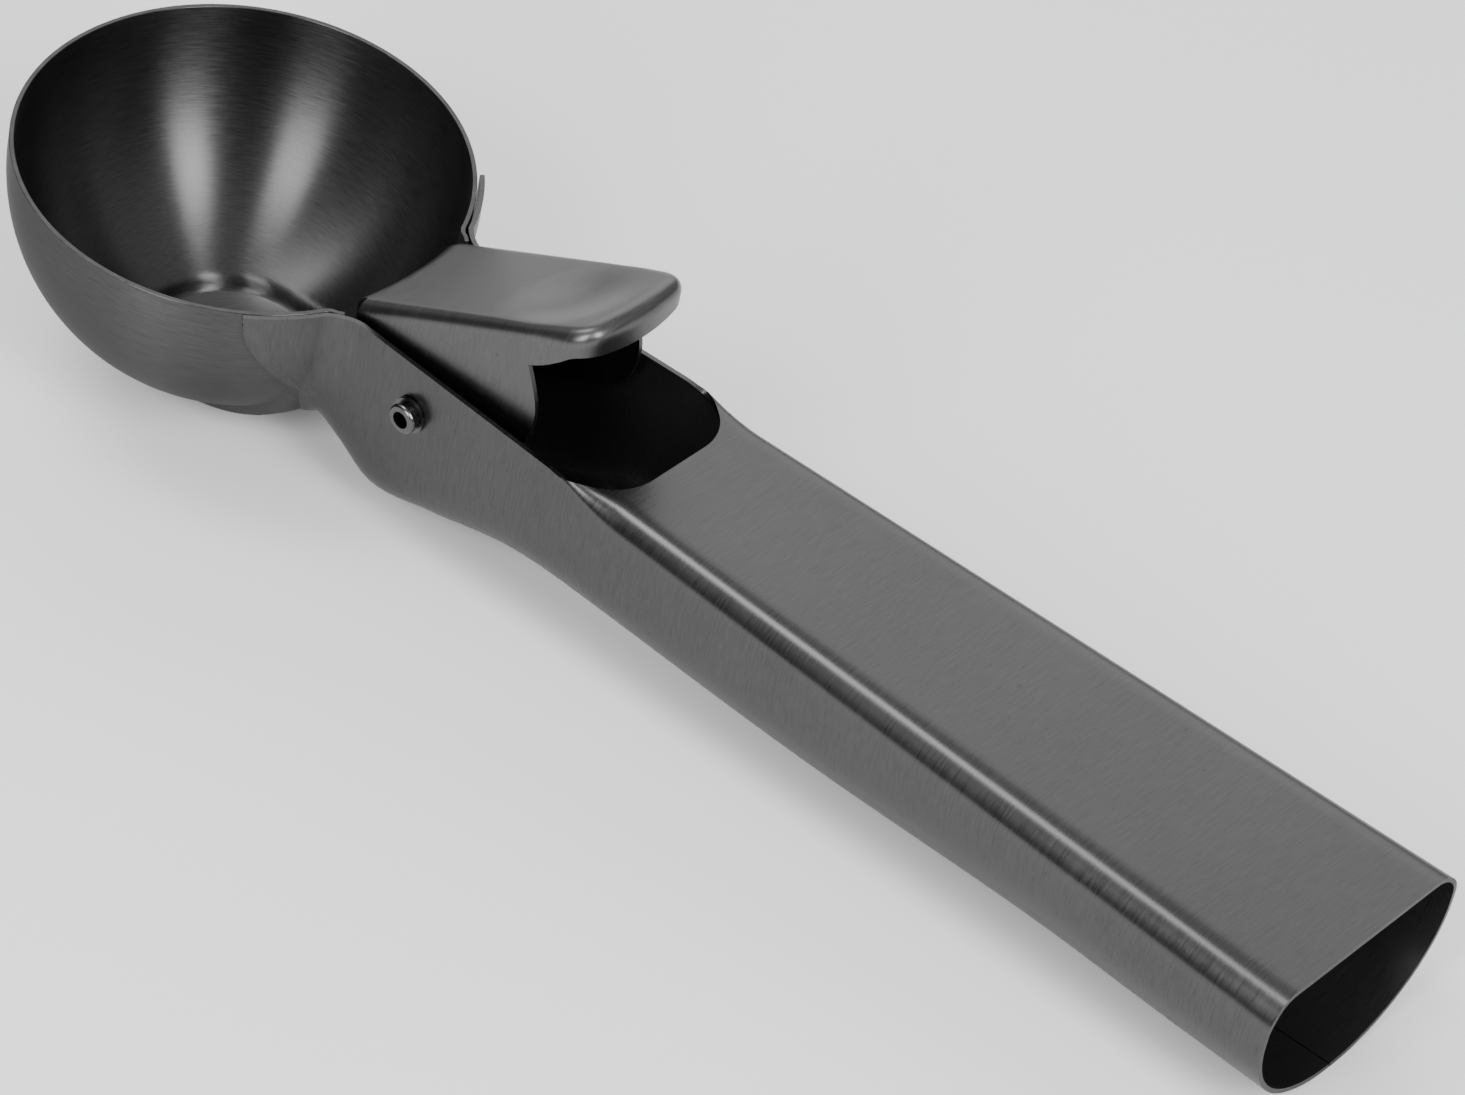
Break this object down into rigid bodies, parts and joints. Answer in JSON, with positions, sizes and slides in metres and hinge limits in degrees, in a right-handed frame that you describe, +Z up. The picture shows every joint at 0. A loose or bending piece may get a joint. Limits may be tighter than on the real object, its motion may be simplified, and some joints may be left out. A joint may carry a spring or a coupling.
{
  "type": "ice cream scoop",
  "caption": "Trigger ice cream scoop of brushed sheet steel: round bowl, thumb lever with an ejector strip on a riveted pivot, open tubular handle.",
  "frame": {"origin": "middle of the bounding box, on the surface that the scoop lies on", "axes": "+X along the scoop from the bowl to the open end of the handle, +Y across it, +Z up, out of the bowl"},
  "size_m": [0.1998, 0.056, 0.0452],
  "materials": {
    "bowl_steel": "brushed round the bowl's axis, dark coating",
    "handle_steel": "brushed across the handle, dark coating",
    "lever_steel": "brushed across the plate, dark coating",
    "rivet_steel": "turned, slightly shiny",
    "spring_steel": "drawn wire"
  },
  "bodies": {
    "handle_body": {"bowl": "bowl_steel", "handle": "handle_steel", "pivot_rivet": "rivet_steel", "near_washer": "rivet_steel", "far_washer": "rivet_steel", "spacer_sleeve": "rivet_steel", "return_spring": "spring_steel"},
    "lever_body": {"thumb_lever": "lever_steel"}
  },
  "joints": [
    {"name": "lever_pivot", "type": "hinge", "parent": "handle_body", "child": "lever_body", "pos_m": [-0.03308, 0, 0.02114], "axis": [0, 1, 0], "range_deg": [0, 30], "stiffness_Nm_per_rad": 0.12, "springref_deg": -20.05, "deforming": ["return_spring"]}
  ]
}
